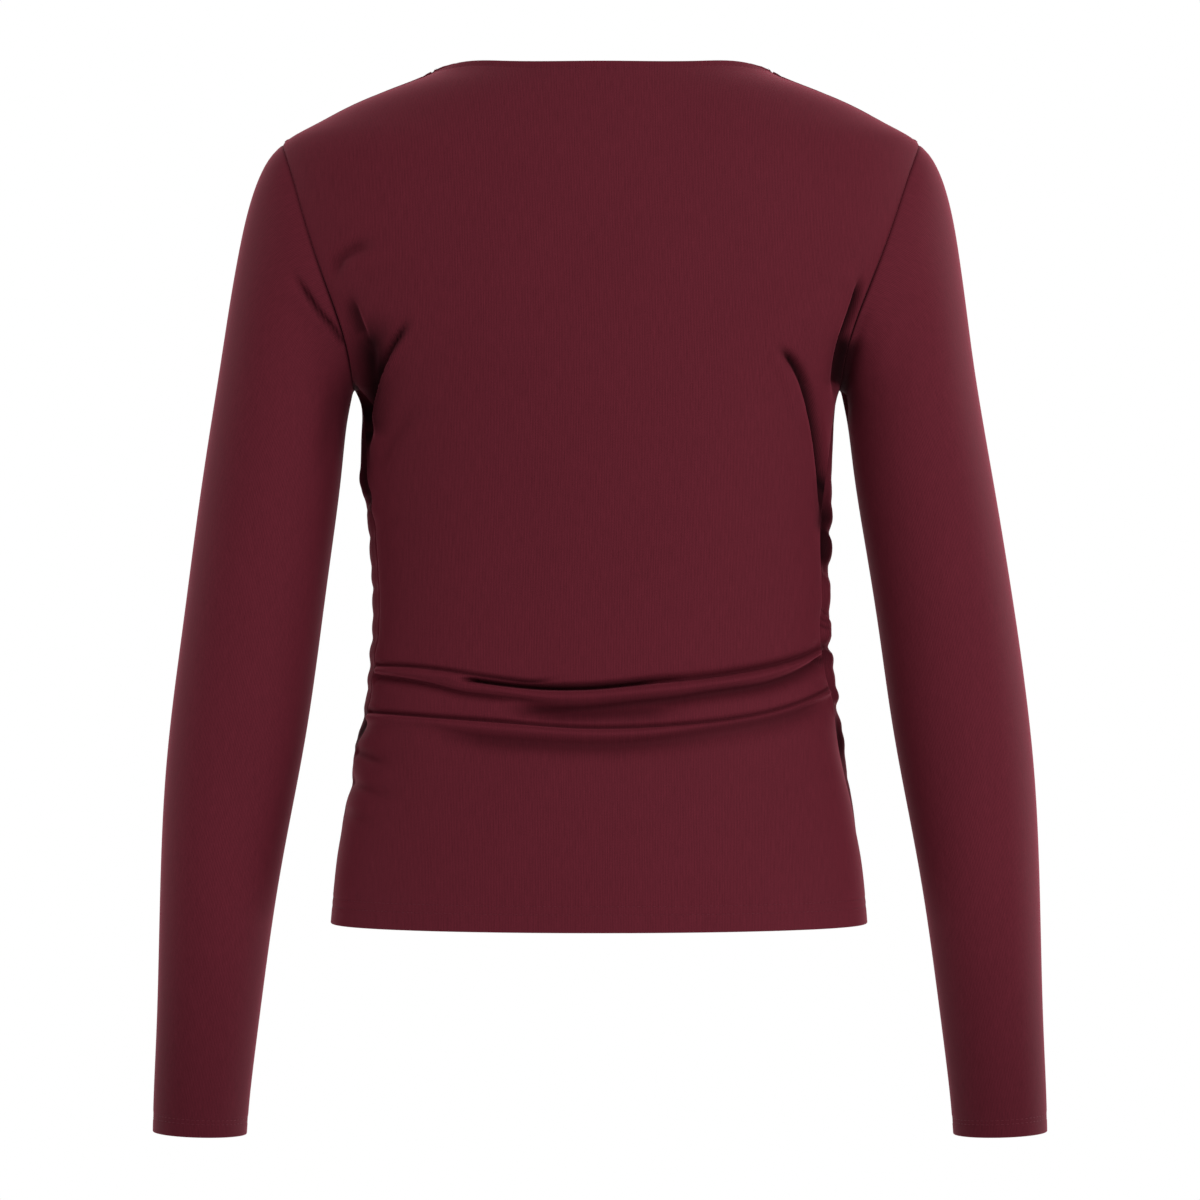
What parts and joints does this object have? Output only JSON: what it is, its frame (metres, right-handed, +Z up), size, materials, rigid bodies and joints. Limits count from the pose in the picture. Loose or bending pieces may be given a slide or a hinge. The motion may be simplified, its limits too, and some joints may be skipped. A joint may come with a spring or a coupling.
{
  "type": "crew neck top",
  "caption": "Fitted long-sleeved jersey top with a wide neckline, set-in sleeves and a front gathered into both side seams, filled out as worn.",
  "frame": {"origin": "midway between the two side-neck points, where the shoulder seams meet the neckline; the wearer's shoulders hold the top there", "axes": "+Z up, the wearer faces -Y, +X to the wearer's left"},
  "size_m": [0.552, 0.211, 0.6555],
  "materials": {
    "back_jersey": "smooth burgundy jersey with fine upright wales and a soft sheen",
    "front_jersey": "smooth burgundy jersey with fine upright wales and a soft sheen",
    "sleeve_jersey": "smooth burgundy jersey, its wales running down the arm"
  },
  "bodies": {
    "root": {"back_panel": "back_jersey", "front_panel": "front_jersey", "sleeve_left": "sleeve_jersey", "sleeve_right": "sleeve_jersey"}
  },
  "joints": []
}
